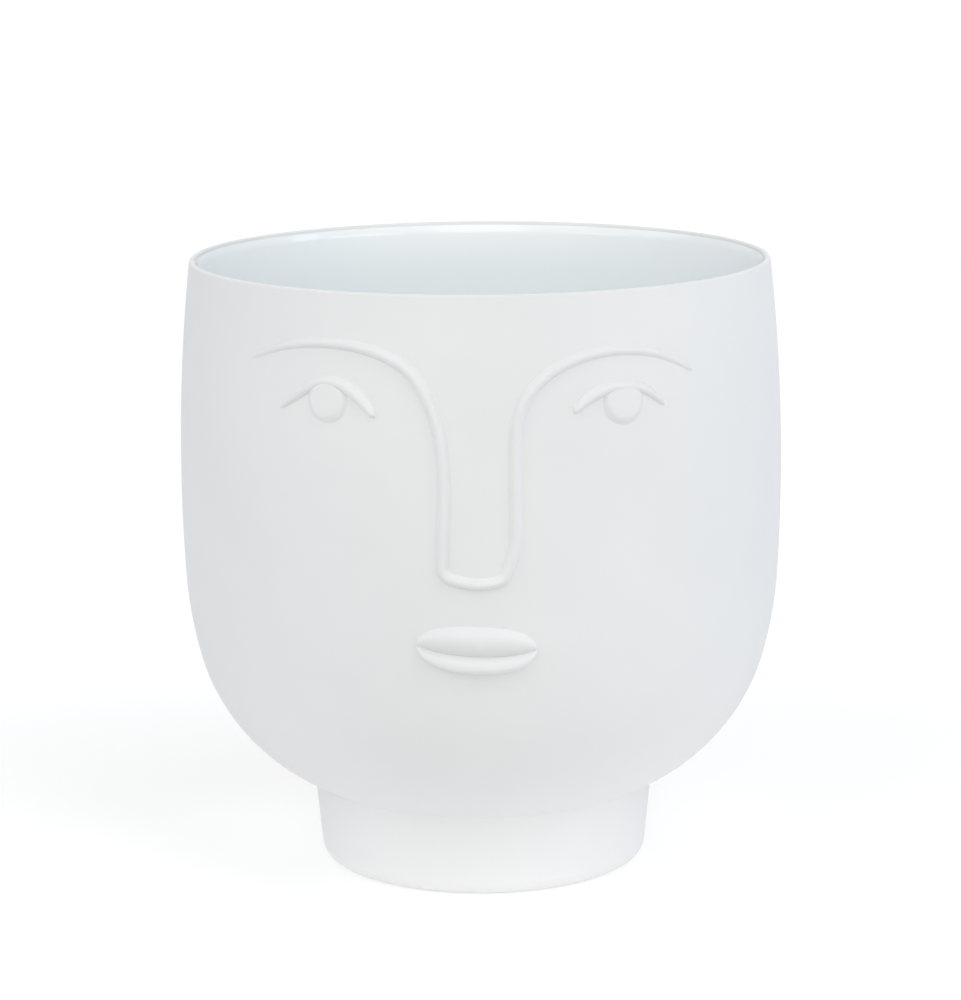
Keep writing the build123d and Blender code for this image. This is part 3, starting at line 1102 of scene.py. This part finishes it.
@dataclass
class Studio:
    """White floor that glows more near the pot, broad soft lights and the room's even light."""

    room_light: float = 0.325
    floor_size: float = 40.0
    # After the name: azimuth, elevation and spread in degrees, strength and tone
    lamps: tuple[Lamp, ...] = (
        Lamp("steep_right_light", 50, 62, 36, 0.395, (0.92, 0.95, 1.0)),
        Lamp("steep_left_light", -50, 62, 36, 0.137, (0.93, 0.955, 1.0)),
        Lamp("front_right_light", 45, 40, 36, 0.49, (0.90, 0.955, 1.0)),
        Lamp("front_left_light", -45, 40, 36, 0.533, (1.0, 0.97, 0.955)),
        Lamp("left_light", -85, 25, 36, 0.225, (0.85, 0.915, 1.0)),
        Lamp("low_front_light", 0, 14, 40, 0.61, (1.0, 0.99, 0.905)),
        Lamp("back_right_light", 160, 40, 36, 0.41),
        Lamp("back_left_light", -160, 40, 36, 0.41),
    )
    # After the name: azimuth in degrees, distance, height, width and tallness in metres, strength and tone
    panels: tuple[Panel, ...] = (
        Panel("right_panel", 84, 0.5, 0.16, 0.12, 0.32, 0.31, (0.75, 0.855, 1.0)),
        Panel("left_panel", -84, 0.5, 0.16, 0.12, 0.32, 0.10, (0.66, 0.785, 1.0)),
        Panel("right_strip", 52, 0.6, 0.20, 0.40, 0.08, 0.27),
        Panel("left_strip", -50, 0.6, 0.20, 0.40, 0.08, 0.17),
    )

    def build_floor(self) -> None:
        """Lays the floor."""
        half = self.floor_size / 2
        corners = [(-half, -half, 0), (half, -half, 0), (half, half, 0), (-half, half, 0)]
        mesh = bpy.data.meshes.new("floor")
        mesh.from_pydata(corners, [], [(0, 1, 2, 3)])
        mesh.materials.append(PaleFloor().material())
        floor = add_object(mesh)

    def build_room(self) -> None:
        """Sets the even light of the room, white where the camera or a gloss looks at it."""
        world = bpy.data.worlds.new("pale_room")
        world.use_nodes = True
        nodes = NodeTree(world.node_tree)
        even = nodes.add("ShaderNodeBackground", Color=WHITE, Strength=self.room_light)
        white = nodes.add("ShaderNodeBackground", Color=WHITE, Strength=1.0)
        mix = nodes.add("ShaderNodeMixShader")
        output = nodes.add("ShaderNodeOutputWorld")
        nodes.join(nodes.looked_at(), mix.inputs["Fac"])
        nodes.join(even.outputs["Background"], mix.inputs[1])
        nodes.join(white.outputs["Background"], mix.inputs[2])
        nodes.join(mix.outputs["Shader"], output.inputs["Surface"])
        bpy.context.scene.world = world

    def build(self) -> None:
        """Makes the whole studio."""
        self.build_floor()
        self.build_room()
        for light in (*self.lamps, *self.panels):
            light.build()


@dataclass
class Viewpoint:
    """Camera at the photograph's place and angle of view."""

    target: tuple[float, float, float] = (-0.000232, 0.0, 0.096995)
    elevation: float = 11.388
    distance: float = 0.92065
    roll: float = -0.4
    focal_pixels: float = 3432.4
    long_side_pixels: float = 1000.0
    sensor: float = 36.0
    far_limit: float = 100.0

    def build(self) -> None:
        """Sets the camera up."""
        up_angle, roll = math.radians(self.elevation), math.radians(self.roll)
        ahead = Vector((0, math.cos(up_angle), -math.sin(up_angle)))
        level = Vector((1, 0, 0))
        upright = level.cross(ahead)
        right = level * math.cos(roll) + upright * math.sin(roll)
        up = upright * math.cos(roll) - level * math.sin(roll)
        data = bpy.data.cameras.new("viewpoint")
        data.sensor_width = self.sensor
        data.lens = self.focal_pixels / self.long_side_pixels * self.sensor
        data.clip_end = self.far_limit
        camera = add_object(data)
        place = Matrix((right, up, -ahead)).transposed().to_4x4()
        place.translation = Vector(self.target) - ahead * self.distance
        camera.matrix_world = place
        bpy.context.scene.camera = camera


def main() -> None:
    """Builds the pot's pieces, the studio and the camera."""
    logging.basicConfig(level=logging.INFO, format="%(name)s: %(message)s")
    bpy.context.scene.view_settings.view_transform = "Standard"
    bisque, glaze = Bisque().material(), Glaze().material()
    wall = PotWall.from_frame()
    vessel = Vessel(wall)
    vessel.build_bowl(bisque)
    vessel.build_foot(bisque)
    vessel.build_glaze(glaze)
    BrowAndNoseLine(wall).build(bisque)
    for eye in (
        Eye(wall, Side.LEFT, across=-0.03985, height=0.1358, lid_shares=LEFT_LID_SHARES),
        Eye(wall, Side.RIGHT, across=0.0368, height=0.1352, lid_shares=RIGHT_LID_SHARES),
    ):
        eye.build_lid(bisque)
        eye.build_iris(bisque)
    Mouth(wall).build(bisque)
    Studio().build()
    Viewpoint().build()


if __name__ == "__main__":
    main()
